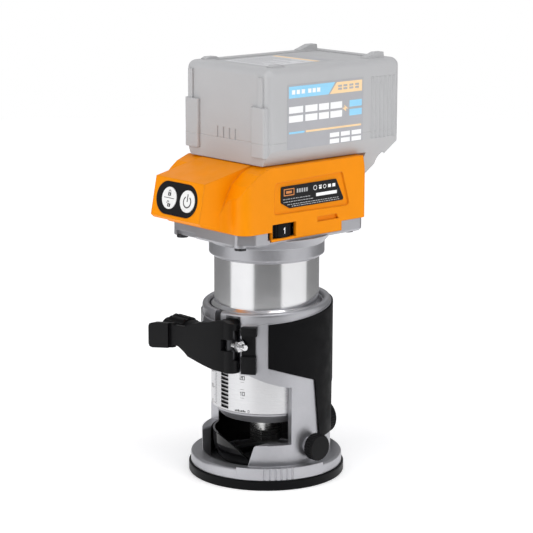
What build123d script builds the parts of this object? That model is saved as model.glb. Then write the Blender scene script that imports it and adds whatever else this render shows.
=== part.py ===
"""Cordless trim router: clamp base, sliding motor unit and slide-on battery pack.

Millimetres. +Z is up and the spindle runs along Z. The origin is where the spindle axis meets the
underside of the sub-base. The front, with the clamp lever and the push buttons, faces -Y.
"""
import os
from math import cos, pi, radians, sin, tan

from build123d import *

os.makedirs("parts", exist_ok=True)

# ---------------------------------------------------------------- driving dimensions
RUN = 0.1              # radial clearance of a running fit
GAP = 0.3              # clearance between parts that pass each other

TUBE_R = 32.5          # polished upper part of the motor barrel
BARREL_R = 34.5        # lower part of the barrel, which carries the rack and the scale
BARREL_BOTTOM = 43.9
BARREL_STEP = 107.0    # where the barrel steps in to TUBE_R
BARREL_TOP = 149.0
BORE_R = 30.4          # inside of the barrel

BASE_R = 48.7          # sub-base disc
BASE_HOLE_R = 16.5
BASE_THICK = 6.0
FOOT_R = 47.4
FOOT_TOP = 12.6
FLOOR_TOP = 8.2
FLOOR_HOLE_R = 26.0
SLEEVE_R = 40.3
SLEEVE_BORE = BARREL_R + RUN
GRIP_R = 41.3
GRIP_SEAT_R = 38.6
RIM_R = 39.8
RIM_MID = 110.0        # rim's top over the spindle axis
RIM_TILT = 0.062       # its rise per millimetre towards the back
SEAM_MID = 105.45      # the same for the seam under the rim
SEAM_TILT = 0.119
SLIT = 2.6             # half width of the split in the sleeve
SCREW_X = 30.6         # sub-base screws, half spacings
SCREW_Y = 25.7
SCREW_DEPTH = 10.6

MODULE = 0.8           # rack and pinion
TEETH = 16
PITCH_R = MODULE * TEETH / 2
PITCH_STEP = pi * MODULE
RACK_PITCH_Y = -33.6
AXIS_Y = RACK_PITCH_Y - PITCH_R      # pinion and clamp bolt axis, along X
AXIS_Z = 89.2
BOLT_R = 2.0
PIVOT_X = 12.6         # clamp lever pivot, along Z, on the bolt's axis
EYE_R = 5.4
PIVOT_R = 3.4
LEVER_LOW = 71.9
LEVER_HIGH = 104.1

KNOB_Z = 24.0          # thumbscrews on the foot
SIDE_KNOB_R = 8.3
REAR_KNOB_R = 10.7

HEAD_BOTTOM = 160.3    # orange head housing
HEAD_TOP = 199.0
HEAD_X = 38.0
HEAD_FRONT = -52.0
HEAD_BACK = 49.0
NOSE_X = 22.5
WALL = 2.4
TAB_BOTTOM = 154.5     # side tabs of the housing, which cover the speed dial
TAB_Y = (-29.7, 27.4)
FLANGE_BOTTOM = 152.0
COLLAR_R = 35.7
COLLAR_BOTTOM = 138.0
HEAD_SCREWS = ((-27, -45), (27, -45), (-27, 43), (27, 43))
DIAL_R = 11.0
DIAL_AT = (27.2, -19.8)
DIAL_Z = (156.4, 164.4)

PACK_X = 38.0          # battery pack
PACK_FRONT = -33.0
PACK_BACK = 76.5
PACK_BOTTOM = 199.5
PACK_TOP = 257.2
PACK_SPLIT = 213.0
CHIN_FRONT = 52.0
CHIN_BOTTOM = 185.0
TONGUE_X = 24.6        # head of the pack's tongue, and its neck
NECK_X = 21.0
TONGUE_Z = (190.4, 195.2)
TONGUE_FRONT = -18.0
CELL_R = 9.1
CELL_LEN = 65.0
CELL_STEP = 18.6

NOSE_BROW = (-68.5, 191.5)           # nose face from its upper to its lower edge, in Y and Z
NOSE_CHIN = (-73.1, 168.5)
BUTTON_R = 6.6
LOCK_X = -7.4
POWER_X = 9.4
PANEL_X = -0.6

rim_plane = Plane(origin=(0, 0, RIM_MID), x_dir=(1, 0, 0), z_dir=(0, -RIM_TILT, 1))
rim_under = Plane(origin=(0, 0, SEAM_MID), x_dir=(1, 0, 0), z_dir=(0, -SEAM_TILT, 1))
grip_top = Plane(origin=(0, 0, SEAM_MID - 0.3), x_dir=(1, 0, 0), z_dir=(0, -SEAM_TILT, 1))
face_plane = Plane(origin=(0, (NOSE_BROW[0] + NOSE_CHIN[0]) / 2, (NOSE_BROW[1] + NOSE_CHIN[1]) / 2),
                   x_dir=(1, 0, 0),
                   z_dir=(0, NOSE_CHIN[1] - NOSE_BROW[1], NOSE_BROW[0] - NOSE_CHIN[0]))


# ---------------------------------------------------------------- helpers
def save(builder, label):
    """Labels a finished piece and writes its STEP file."""
    builder.part.label = label
    export_step(builder.part, f"parts/{label}.step")


def ring(outer, inner, bottom, top, mode=Mode.ADD, at=(0, 0)):
    """Upright tube about an axis parallel to Z; inner 0 gives a solid cylinder."""
    with BuildSketch(Plane.XY.offset(bottom)) as profile:
        with Locations(at):
            Circle(outer)
            if inner:
                Circle(inner, mode=Mode.SUBTRACT)
    extrude(profile.sketch, amount=top - bottom, mode=mode)


def lying_x(radius, start, end, y, z, mode=Mode.ADD, inner=0):
    """Cylinder along X from start to end."""
    with BuildSketch(Plane.YZ.offset(start)) as profile:
        with Locations((y, z)):
            Circle(radius)
            if inner:
                Circle(inner, mode=Mode.SUBTRACT)
    extrude(profile.sketch, amount=end - start, mode=mode)


def arc_wall(outer, inner, start, end, bottom, top, mode=Mode.ADD):
    """Curved wall about the spindle axis between two angles."""
    with BuildSketch(Plane.XY.offset(bottom)) as profile:
        with BuildLine():
            far = CenterArc((0, 0), outer, start, end - start)
            Line((0, 0), far @ 0)
            Line(far @ 1, (0, 0))
        make_face()
        if inner:
            Circle(inner, mode=Mode.SUBTRACT)
    extrude(profile.sketch, amount=top - bottom, mode=mode)


def block(x, y, z, mode=Mode.ADD):
    """Box between pairs of limits."""
    with BuildSketch(Plane.XY.offset(z[0])) as profile:
        with Locations(((x[0] + x[1]) / 2, (y[0] + y[1]) / 2)):
            Rectangle(x[1] - x[0], y[1] - y[0])
    extrude(profile.sketch, amount=z[1] - z[0], mode=mode)


def outline_x(points, start, end, mode=Mode.ADD, soft=0):
    """Extrudes a closed outline given in Y and Z from X = start to X = end."""
    with BuildSketch(Plane.YZ.offset(start)) as profile:
        with BuildLine():
            Polyline(*points, close=True)
        make_face()
        if soft:
            fillet(profile.vertices(), soft)
    extrude(profile.sketch, amount=end - start, mode=mode)


def outline_y(points, near, far, mode=Mode.ADD):
    """Extrudes a closed outline given in X and Z from Y = near towards -Y to Y = far."""
    with BuildSketch(Plane.XZ.offset(-near)) as profile:
        with BuildLine():
            Polyline(*points, close=True)
        make_face()
    extrude(profile.sketch, amount=near - far, mode=mode)


# ---------------------------------------------------------------- base: shared forms
with BuildPart() as grip_form:
    arc_wall(GRIP_R, GRIP_SEAT_R, -40, 68, 26, 120)
    split(bisect_by=grip_top, keep=Keep.BOTTOM)
    outline_x(((-45, 81.5), (3.4, 64.8), (7.2, 33.6), (8.2, 27), (24.2, 27), (26, 58), (46, 64),
               (46, 125), (-45, 125)), 10, 50, mode=Mode.INTERSECT)

with BuildPart() as front_window:
    outline_y(((-45, 58.4), (-22, 70), (22, 70), (45, 58.4), (45, 26), (24.8, 26), (19.5, 5),
               (-19.5, 5), (-24.8, 26), (-45, 26)), 0, -60)
    fillet(front_window.edges().filter_by(Axis.Y), 2)
    arc_wall(60, 0, -161, -19, 0, 90, mode=Mode.INTERSECT)

with BuildPart() as rim_form:
    ring(RIM_R, SLEEVE_BORE + 0.7, 90, 125)
    split(bisect_by=rim_plane, keep=Keep.BOTTOM)
    split(bisect_by=rim_under, keep=Keep.TOP)
    fillet(rim_form.faces().sort_by(Axis.Z)[-1].edges(), 1.9)

# ---------------------------------------------------------------- sub-base
with BuildPart() as sub_base:
    ring(BASE_R, BASE_HOLE_R, 0, BASE_THICK)
    fillet(sub_base.edges().filter_by(GeomType.CIRCLE).sort_by(SortBy.RADIUS)[-2:], 0.8)
    with Locations(Plane.XY.rotated((180, 0, 0))):
        with GridLocations(2 * SCREW_X, 2 * SCREW_Y, 2, 2):
            CounterSinkHole(2.2, 4.2)
save(sub_base, "sub_base")

with BuildPart() as sub_base_screws:
    with BuildSketch(Plane.XY.offset(0.4)):
        with GridLocations(2 * SCREW_X, 2 * SCREW_Y, 2, 2):
            Circle(3.6)
    extrude(amount=1.6, taper=44)
    with BuildSketch(Plane.XY.offset(0.4)):
        with GridLocations(2 * SCREW_X, 2 * SCREW_Y, 2, 2):
            Circle(2.0)
    extrude(amount=SCREW_DEPTH - 0.4)
    with BuildSketch(Plane.XY.offset(0.4)):
        with GridLocations(2 * SCREW_X, 2 * SCREW_Y, 2, 2):
            Rectangle(3.6, 0.8)
            Rectangle(0.8, 3.6)
    extrude(amount=1.2, mode=Mode.SUBTRACT)
save(sub_base_screws, "sub_base_screws")

# ---------------------------------------------------------------- cast base
BAND_R = FOOT_R + 0.7
with BuildPart() as base_casting:
    ring(SLEEVE_R, SLEEVE_BORE, FLOOR_TOP, 125)
    split(bisect_by=rim_under, keep=Keep.BOTTOM)
    add(rim_form.part)
    # openings: front window and the rear one behind the collet
    add(front_window.part, mode=Mode.SUBTRACT)
    arc_wall(60, 0, 62, 118, 38, 66, mode=Mode.SUBTRACT)
    # foot with its raised, fluted band
    ring(FOOT_R, SLEEVE_BORE + 4.5, BASE_THICK, FOOT_TOP)
    fillet(base_casting.edges().filter_by(GeomType.CIRCLE).filter_by(
        lambda e: abs(e.radius - FOOT_R) < 0.01 and e.center().Z > FOOT_TOP - 0.1), 1.6)
    ring(SLEEVE_BORE + 5, FLOOR_HOLE_R, BASE_THICK, FLOOR_TOP)
    arc_wall(SLEEVE_R, SLEEVE_BORE - 1, 10, 170, BASE_THICK, FOOT_TOP)
    arc_wall(BAND_R, FOOT_R - 3, -64, 5, BASE_THICK + 0.4, FOOT_TOP + 1.2)
    for k in range(6):
        turn = radians(-43 + 4.2 * k)
        ring(0.7, 0, BASE_THICK, FOOT_TOP + 2, Mode.SUBTRACT, (48.2 * cos(turn), 48.2 * sin(turn)))
    # raised frames of the grips
    add(grip_form.part, mode=Mode.SUBTRACT)
    add(mirror(grip_form.part, about=Plane.YZ, mode=Mode.PRIVATE), mode=Mode.SUBTRACT)
    # clamp ears with the pinion between them
    for near, far in ((-17.0, -SLIT), (SLIT, 6.9)):
        outline_x(((-34.5, AXIS_Z - 8.6), (AXIS_Y - 1, AXIS_Z - 5.8), (AXIS_Y - 5.2, AXIS_Z - 3),
                   (AXIS_Y - 5.2, AXIS_Z + 3), (AXIS_Y - 1, AXIS_Z + 5.8), (-34.5, AXIS_Z + 8.6)),
                  near, far, soft=1.5)
    ring(SLEEVE_BORE, 0, 60, 125, mode=Mode.SUBTRACT)
    block((-SLIT, SLIT), (-60, -30), (60, 125), mode=Mode.SUBTRACT)
    lying_x(PITCH_R + 1.3, -SLIT - 0.4, SLIT + 0.4, AXIS_Y, AXIS_Z, mode=Mode.SUBTRACT)
    lying_x(3.9, -20, 0, AXIS_Y, AXIS_Z, mode=Mode.SUBTRACT)
    lying_x(BOLT_R + 0.15, 0, 30, AXIS_Y, AXIS_Z, mode=Mode.SUBTRACT)
    lying_x(9.0, -34, -17, AXIS_Y, AXIS_Z, mode=Mode.SUBTRACT)
    # pocket for the lever's eye and the clamp nut
    ring(EYE_R + GAP, 0, 69, 106, mode=Mode.SUBTRACT, at=(PIVOT_X, AXIS_Y))
    lying_x(5.0, PIVOT_X, 27, AXIS_Y, AXIS_Z, mode=Mode.SUBTRACT)
    # thumbscrew bosses
    lying_x(5.4, SLEEVE_R - 3, SLEEVE_R + 2.6, 0, KNOB_Z)
    with BuildSketch(Plane.XZ.offset(-SLEEVE_R - 2.6)):
        with Locations((0, KNOB_Z)):
            Circle(7.5)
    extrude(amount=6)
    lying_x(3.0 + RUN, SLEEVE_BORE - 3, SLEEVE_R + 5, 0, KNOB_Z, mode=Mode.SUBTRACT)
    with BuildSketch(Plane.XZ.offset(-SLEEVE_R - 5)):
        with Locations((0, KNOB_Z)):
            Circle(3.0 + RUN)
    extrude(amount=14, mode=Mode.SUBTRACT)
    # sub-base screw holes
    with BuildSketch(Plane.XY):
        with GridLocations(2 * SCREW_X, 2 * SCREW_Y, 2, 2):
            Circle(2.05)
    extrude(amount=SCREW_DEPTH + 0.3, mode=Mode.SUBTRACT)
save(base_casting, "base_casting")

with BuildPart() as right_grip:
    add(grip_form.part)
save(right_grip, "right_grip")

with BuildPart() as left_grip:
    add(mirror(grip_form.part, about=Plane.YZ, mode=Mode.PRIVATE))
save(left_grip, "left_grip")

# ---------------------------------------------------------------- chip deflector
with BuildPart() as chip_deflector:
    with BuildSketch(Plane.XZ):
        with BuildLine():
            Polyline((28.6, FLOOR_TOP + 0.1), (31.4, 11.2), (33.0, 15.6), (33.6, 20), (33.6, 26.6),
                     (32.2, 26.6), (32.2, 20.2), (31.6, 16.2), (30.2, 12.2), (27.2, FLOOR_TOP + 0.1), close=True)
        make_face()
    revolve(axis=Axis.Z)
    arc_wall(50, 0, -160, -58, 0, 40, mode=Mode.INTERSECT)
    # the free upper corner is cut back along a curve
    with BuildSketch(Plane.XZ):
        with Locations((-13.5, 2)):
            Ellipse(33, 24.6)
        with Locations((-40, 16)):
            Rectangle(62, 40)
    extrude(amount=60, mode=Mode.INTERSECT)
save(chip_deflector, "chip_deflector")

# ---------------------------------------------------------------- thumbscrews
with BuildPart() as side_knob:
    lying_x(SIDE_KNOB_R, SLEEVE_R + 3.0, SLEEVE_R + 9.6, 0, KNOB_Z)
    chamfer(side_knob.edges().filter_by(GeomType.CIRCLE), 0.9)
    with BuildSketch(Plane.YZ.offset(SLEEVE_R + 2)):
        with Locations((0, KNOB_Z)):
            with PolarLocations(SIDE_KNOB_R + 0.35, 28):
                Circle(0.75)
    extrude(amount=9, mode=Mode.SUBTRACT)
    lying_x(3.0, SLEEVE_BORE + 0.6, SLEEVE_R + 4, 0, KNOB_Z)
save(side_knob, "side_knob")

with BuildPart() as rear_knob:
    with BuildSketch(Plane.XZ.offset(-SLEEVE_R - 3.0)):
        with Locations((0, KNOB_Z)):
            Circle(REAR_KNOB_R)
    extrude(amount=-8.4)
    chamfer(rear_knob.edges().filter_by(GeomType.CIRCLE), 0.9)
    with BuildSketch(Plane.XZ.offset(-SLEEVE_R - 2)):
        with Locations((0, KNOB_Z)):
            with PolarLocations(REAR_KNOB_R + 0.35, 36):
                Circle(0.75)
    extrude(amount=-11, mode=Mode.SUBTRACT)
    with BuildSketch(Plane.XZ.offset(-SLEEVE_BORE - 0.6)):
        with Locations((0, KNOB_Z)):
            Circle(3.0)
    extrude(amount=-9)
save(rear_knob, "rear_knob")

# ---------------------------------------------------------------- clamp
BOLT_END = 26.2
NUT_FROM = PIVOT_X + EYE_R + 1.2
with BuildPart() as clamp_bolt:
    lying_x(BOLT_R, -46.5, BOLT_END, AXIS_Y, AXIS_Z)
    chamfer(clamp_bolt.faces().sort_by(Axis.X)[-1].edges(), 0.4)
    lying_x(3.6, -49.2, -46.5, AXIS_Y, AXIS_Z)
    with BuildSketch(Plane.YZ.offset(-49.2)):
        with Locations((AXIS_Y, AXIS_Z)):
            RegularPolygon(1.7, 6)
    extrude(amount=1.6, mode=Mode.SUBTRACT)
save(clamp_bolt, "clamp_bolt")

with BuildPart() as clamp_nut:
    with BuildSketch(Plane.YZ.offset(NUT_FROM)):
        with Locations((AXIS_Y, AXIS_Z)):
            RegularPolygon(3.1, 6, major_radius=False)
            Circle(BOLT_R, mode=Mode.SUBTRACT)
    extrude(amount=2.6)
    lying_x(2.7, NUT_FROM + 2.6, NUT_FROM + 3.6, AXIS_Y, AXIS_Z, inner=BOLT_R)
save(clamp_nut, "clamp_nut")

with BuildPart() as pivot_pin:
    ring(PIVOT_R, 0, AXIS_Z - 10.6, AXIS_Z + 10.6, at=(PIVOT_X, AXIS_Y))
    chamfer(pivot_pin.edges().filter_by(GeomType.CIRCLE), 0.4)
    lying_x(BOLT_R + 0.05, 0, 30, AXIS_Y, AXIS_Z, mode=Mode.SUBTRACT)
    lying_x(3.4, PIVOT_X + 2.7, 30, AXIS_Y, AXIS_Z, mode=Mode.SUBTRACT)
save(pivot_pin, "pivot_pin")

with BuildPart() as nut_washer:
    lying_x(2.6, PIVOT_X + 2.7, NUT_FROM, AXIS_Y, AXIS_Z, inner=BOLT_R + 0.05)
save(nut_washer, "nut_washer")

with BuildPart() as cam_guide:
    arc_wall(41.7, SLEEVE_R, -63, -51, 72, 100.4)
    arc_wall(44.0, SLEEVE_R, -62.5, -49.5, 95.4, 100.6)
    arc_wall(43.6, SLEEVE_R, -62.5, -50.3, 71.6, 82.6)
    lying_x(5.0, PIVOT_X, 27, AXIS_Y, AXIS_Z, mode=Mode.SUBTRACT)
    ring(EYE_R + GAP, 0, 69, 106, mode=Mode.SUBTRACT, at=(PIVOT_X, AXIS_Y))
save(cam_guide, "cam_guide")

with BuildPart() as clamp_lever:
    with BuildSketch(Plane.XY.offset(LEVER_LOW - 1)):
        with BuildLine() as spine:
            Spline((PIVOT_X - 0.8, AXIS_Y - 4.1), (6, -47.3), (-3, -49.9), (-14, -51.2), (-28, -52.6))
            Line((-28, -52.6), (-45, -55.6))
        trace(line_width=2.6)
        with BuildLine() as tab_line:
            Line((-29, -53.6), (-45, -56.4))
        trace(line_width=4.6)
    extrude(amount=36)
    ring(EYE_R, 0, LEVER_LOW - 1, LEVER_HIGH + 1, at=(PIVOT_X, AXIS_Y))
    for low, high in ((74.4, 77.2), (97.9, 100.1)):
        with BuildSketch(Plane.XY.offset(low)):
            with BuildLine():
                Polyline((PIVOT_X, AXIS_Y - 4), (PIVOT_X - 5.2, AXIS_Y - 1), (-9, -46), (-20, -51),
                         (-3, -49), (6, -46.4), close=True)
            make_face()
        extrude(amount=high - low)
    outline_y(((-44.4, 81.8), (-43.6, 80.1), (-41.6, 79.6), (-26.6, 81.6), (-26, 83.6), (-22, 83.2),
               (-17.2, 80.7), (-13.7, 78.2), (-8.4, 77), (6.2, 73.1), (14, LEVER_LOW), (19, LEVER_LOW),
               (19, 102), (12.1, LEVER_HIGH), (8, LEVER_HIGH), (2.4, 102.4), (-2.5, 101.4), (-10.6, 99.5),
               (-17.1, 96.5), (-26, 96), (-26.6, 97.2), (-41.8, 95.4), (-43.7, 94.6), (-44.4, 92.8)),
              -20, -70, mode=Mode.INTERSECT)
    # bore for the pivot pin and the slot that passes the bolt while the lever swings
    ring(PIVOT_R + RUN, 0, AXIS_Z - 11, AXIS_Z + 11, mode=Mode.SUBTRACT, at=(PIVOT_X, AXIS_Y))
    block((10.6, 25), (-60, -30), (AXIS_Z - 3.6, AXIS_Z + 3.6), mode=Mode.SUBTRACT)
    block((2, 25), (AXIS_Y - 2.5, -30), (AXIS_Z - 9.4, AXIS_Z + 9.4), mode=Mode.SUBTRACT)
save(clamp_lever, "clamp_lever")

# ---------------------------------------------------------------- depth adjuster
with BuildPart() as pinion:
    with BuildSketch(Plane.YZ.offset(-SLIT + 0.35)):
        with Locations((AXIS_Y, AXIS_Z)):
            Circle(PITCH_R - MODULE - 0.3)
            with PolarLocations(0, TEETH):
                Polygon((4.9, -0.68), (PITCH_R, -0.42), (7.05, -0.14), (7.05, 0.14), (PITCH_R, 0.42),
                        (4.9, 0.68), align=None)
    extrude(amount=2 * SLIT - 0.7)
    lying_x(3.8, -38, -SLIT + 0.4, AXIS_Y, AXIS_Z)
    lying_x(BOLT_R + RUN, -40, 10, AXIS_Y, AXIS_Z, mode=Mode.SUBTRACT)
save(pinion, "pinion")

with BuildPart() as depth_knob:
    lying_x(9.4, -41.5, -26, AXIS_Y, AXIS_Z)
    chamfer(depth_knob.edges().filter_by(GeomType.CIRCLE), 1.0)
    with BuildSketch(Plane.YZ.offset(-43)):
        with Locations((AXIS_Y, AXIS_Z)):
            with PolarLocations(10.3, 14):
                Circle(1.7)
    extrude(amount=20, mode=Mode.SUBTRACT)
    lying_x(8.0, -26, -17.6, AXIS_Y, AXIS_Z)
    chamfer(depth_knob.edges().group_by(Axis.X)[-1], 0.6)
    lying_x(5.8, -48.5, -41, AXIS_Y, AXIS_Z)
    chamfer(depth_knob.edges().group_by(Axis.X)[0], 0.8)
    lying_x(4.1, -50, -38, AXIS_Y, AXIS_Z, mode=Mode.SUBTRACT)
    lying_x(3.8, -38, -10, AXIS_Y, AXIS_Z, mode=Mode.SUBTRACT)
save(depth_knob, "depth_knob")

# ---------------------------------------------------------------- motor barrel
RACK_GAPS = range(-17, 7)
with BuildPart() as motor_barrel:
    with BuildSketch(Plane.XZ):
        with BuildLine():
            Polyline((BORE_R, BARREL_BOTTOM), (BARREL_R - 0.5, BARREL_BOTTOM), (BARREL_R, BARREL_BOTTOM + 0.5),
                     (BARREL_R, BARREL_STEP), (TUBE_R, BARREL_STEP + 2), (TUBE_R, BARREL_TOP),
                     (BORE_R, BARREL_TOP), close=True)
        make_face()
    revolve(axis=Axis.Z)
    half_pitch = PITCH_STEP / 4 + 0.1
    rise = tan(radians(20))
    with BuildSketch(Plane.YZ.offset(-3.45)):
        for k in RACK_GAPS:
            with Locations((0, AXIS_Z + k * PITCH_STEP)):
                Polygon((-35, half_pitch + 1.4 * rise), (RACK_PITCH_Y + 1, half_pitch - rise),
                        (RACK_PITCH_Y + 1, rise - half_pitch), (-35, -half_pitch - 1.4 * rise), align=None)
    extrude(amount=6.9, mode=Mode.SUBTRACT)
save(motor_barrel, "motor_barrel")

with BuildPart() as end_bracket:
    with BuildSketch(Plane.XZ):
        with BuildLine():
            Polyline((8.8, 36), (16, 36), (26, 37.2), (28.3, 37.2), (33.4, 42.6), (33.8, 43.9), (30.3, 43.9),
                     (30.3, 50), (27, 50), (27, 46), (16.5, 46), (16.5, 55), (14.02, 55), (14.02, 45), (12, 45),
                     (12, 39.5), (8.8, 39.5), close=True)
        make_face()
    revolve(axis=Axis.Z)
save(end_bracket, "end_bracket")


def bearing(bottom, outer, inner, width):
    """Ball bearing drawn as its two rings and the cage with its balls between them."""
    middle = (outer + inner) / 2
    ring(outer, outer - 2, bottom, bottom + width)
    ring(inner + 2, inner, bottom, bottom + width)
    ring(middle + 1.6, middle - 1.6, bottom + width * 0.2, bottom + width * 0.8)


with BuildPart() as lower_bearing:
    bearing(45.2, 14.0, 6.05, 8)
save(lower_bearing, "lower_bearing")

with BuildPart() as upper_bearing:
    bearing(139.2, 11.0, 4.05, 7)
save(upper_bearing, "upper_bearing")

# ---------------------------------------------------------------- motor
SLOTS = 9
STATOR_Z = (62, 108)
with BuildPart() as stator_core:
    with BuildSketch(Plane.XY.offset(STATOR_Z[0])):
        Circle(BORE_R - 0.05)
        Circle(25.5, mode=Mode.SUBTRACT)
        with PolarLocations(22, SLOTS):
            Rectangle(9, 4)
        with PolarLocations(17.6, SLOTS):
            Rectangle(2, 9.2)
        Circle(16.4, mode=Mode.SUBTRACT)
    extrude(amount=STATOR_Z[1] - STATOR_Z[0])
save(stator_core, "stator_core")

with BuildPart() as stator_coils:
    with BuildSketch(Plane.XY.offset(STATOR_Z[0] - 4)):
        with PolarLocations(22, SLOTS):
            RectangleRounded(6.0, 8.4, 1.2)
    extrude(amount=STATOR_Z[1] - STATOR_Z[0] + 8)
    with BuildSketch(Plane.XY.offset(STATOR_Z[0])):
        with PolarLocations(22, SLOTS):
            Rectangle(10, 4.1)
    extrude(amount=STATOR_Z[1] - STATOR_Z[0], mode=Mode.SUBTRACT)
save(stator_coils, "stator_coils")

with BuildPart() as rotor_magnets:
    ring(15.6, 5.0, STATOR_Z[0] + 1, STATOR_Z[1] - 1)
    with BuildSketch(Plane.XY.offset(STATOR_Z[0])):
        with PolarLocations(15.6, 6):
            Rectangle(1.4, 0.8)
    extrude(amount=STATOR_Z[1] - STATOR_Z[0], mode=Mode.SUBTRACT)
save(rotor_magnets, "rotor_magnets")

with BuildPart() as cooling_fan:
    ring(8, 5.0, 115, 127)
    ring(26.5, 7, 115, 116.6)
    with BuildSketch(Plane.XY.offset(116.6)):
        with PolarLocations(17, 11):
            Rectangle(18, 1.2, rotation=24)
    extrude(amount=9)
save(cooling_fan, "cooling_fan")

with BuildPart() as spindle:
    ring(5.0, 0, 57, 130)
    ring(6.0, 0, 40, 57)
    ring(4.0, 0, 130, 148)
    ring(8.2, 0, 26, 40)
    with BuildSketch(Plane.XY.offset(35.2)):
        Rectangle(30, 13.6)
        Circle(6.8, mode=Mode.SUBTRACT)
        Rectangle(13.6, 13.6, mode=Mode.SUBTRACT)
    extrude(amount=3.2, mode=Mode.SUBTRACT)
    ring(3.8, 0, 25, 52, mode=Mode.SUBTRACT)
    with BuildSketch(Plane.XY.offset(25.9)):
        Circle(6.0)
    extrude(amount=9, taper=11, mode=Mode.SUBTRACT)
save(spindle, "spindle")

COLLET_R = 3.175
with BuildPart() as collet:
    with BuildSketch(Plane.XY.offset(26.0)):
        Circle(5.9)
    extrude(amount=8.4, taper=11)
    ring(5.9, 0, 23.4, 26.0)
    ring(COLLET_R, 0, 20, 40, mode=Mode.SUBTRACT)
    for turn in (0, 60, 120):
        with BuildSketch(Plane.XY.offset(22)):
            Rectangle(14, 0.8, rotation=turn)
        extrude(amount=8, mode=Mode.SUBTRACT)
save(collet, "collet")

with BuildPart() as collet_nut:
    ring(10.2, 0, 20, 33.5)
    with BuildSketch(Plane.XY.offset(19)):
        RegularPolygon(9.0, 6, major_radius=False)
    extrude(amount=9.5, mode=Mode.ADD)
    with BuildSketch(Plane.XY.offset(18)):
        Circle(20)
        RegularPolygon(9.0, 6, major_radius=False, mode=Mode.SUBTRACT)
    extrude(amount=9.0, mode=Mode.SUBTRACT)
    chamfer(collet_nut.faces().sort_by(Axis.Z)[-1].edges(), 0.8)
    ring(8.2, 0, 26, 35, mode=Mode.SUBTRACT)
    ring(5.9, 0, 23.4, 27, mode=Mode.SUBTRACT)
    ring(4.4, 0, 15, 25, mode=Mode.SUBTRACT)
save(collet_nut, "collet_nut")

# ---------------------------------------------------------------- head casting
TAB_CUT_X = HEAD_X - WALL - 2.8
with BuildPart() as head_casting:
    with BuildSketch(Plane.XY.offset(FLANGE_BOTTOM)) as flange_outline:
        with BuildLine():
            Polyline((-36.8, 47), (36.8, 47), (36.8, -41), (29, -50), (-29, -50), (-36.8, -41), close=True)
        make_face()
        fillet(flange_outline.vertices(), 3)
    extrude(amount=HEAD_BOTTOM - FLANGE_BOTTOM)
    chamfer(head_casting.edges().group_by(Axis.Z)[0], 1.4)
    ring(COLLAR_R, 0, COLLAR_BOTTOM + 1.2, FLANGE_BOTTOM + 1)
    fillet(head_casting.edges().group_by(Axis.Z)[0], 1.0)
    ring(TUBE_R + 0.9, 0, COLLAR_BOTTOM, COLLAR_BOTTOM + 3)
    with BuildSketch(Plane.XY.offset(147)):
        Circle(COLLAR_R - 0.1)
    extrude(amount=6, taper=-40)
    # screw pads under the corners
    for at in HEAD_SCREWS:
        ring(5.0, 0, FLANGE_BOTTOM, FLANGE_BOTTOM + 2, at=at)
    ring(TUBE_R + 0.05, 0, COLLAR_BOTTOM - 1, BARREL_TOP + 0.2, mode=Mode.SUBTRACT)
    ring(27, 0, BARREL_TOP, HEAD_BOTTOM + 1, mode=Mode.SUBTRACT)
    # bearing seat on three spokes
    ring(13.4, 0, 138.8, 152)
    for turn in (30, 150, 270):
        with BuildSketch(Plane.XY.offset(BARREL_TOP + 0.2)):
            with Locations((21 * cos(radians(turn)), 21 * sin(radians(turn)))):
                Rectangle(20, 7, rotation=turn)
        extrude(amount=2.8)
    ring(11.02, 0, 138, 146.4, mode=Mode.SUBTRACT)
    ring(5.4, 0, 140, 149.4, mode=Mode.SUBTRACT)
    # room for the housing's side tabs and the speed dial
    for side in (1, -1):
        block(sorted((side * TAB_CUT_X, side * 50)), (TAB_Y[0] - GAP, TAB_Y[1] + GAP),
              (TAB_BOTTOM - GAP, 170), mode=Mode.SUBTRACT)
    block((14, 50), (DIAL_AT[1] - 12, DIAL_AT[1] + 12), (DIAL_Z[0] - 0.9, 170), mode=Mode.SUBTRACT)
    # slot in the front edge
    block((-27, -9), (-60, -47.4), (151, 155.4), mode=Mode.SUBTRACT)
    for at in HEAD_SCREWS:
        ring(2.1, 0, 140, 170, mode=Mode.SUBTRACT, at=at)
save(head_casting, "head_casting")

SCREW_HEAD = FLANGE_BOTTOM - 1.9
with BuildPart() as head_screws:
    for at in HEAD_SCREWS:
        ring(3.5, 0, SCREW_HEAD, FLANGE_BOTTOM, at=at)
        ring(2.0, 0, SCREW_HEAD, 171, at=at)
        with BuildSketch(Plane.XY.offset(SCREW_HEAD)):
            with Locations(at):
                RegularPolygon(1.6, 6)
        extrude(amount=1.2, mode=Mode.SUBTRACT)
save(head_screws, "head_screws")


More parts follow.
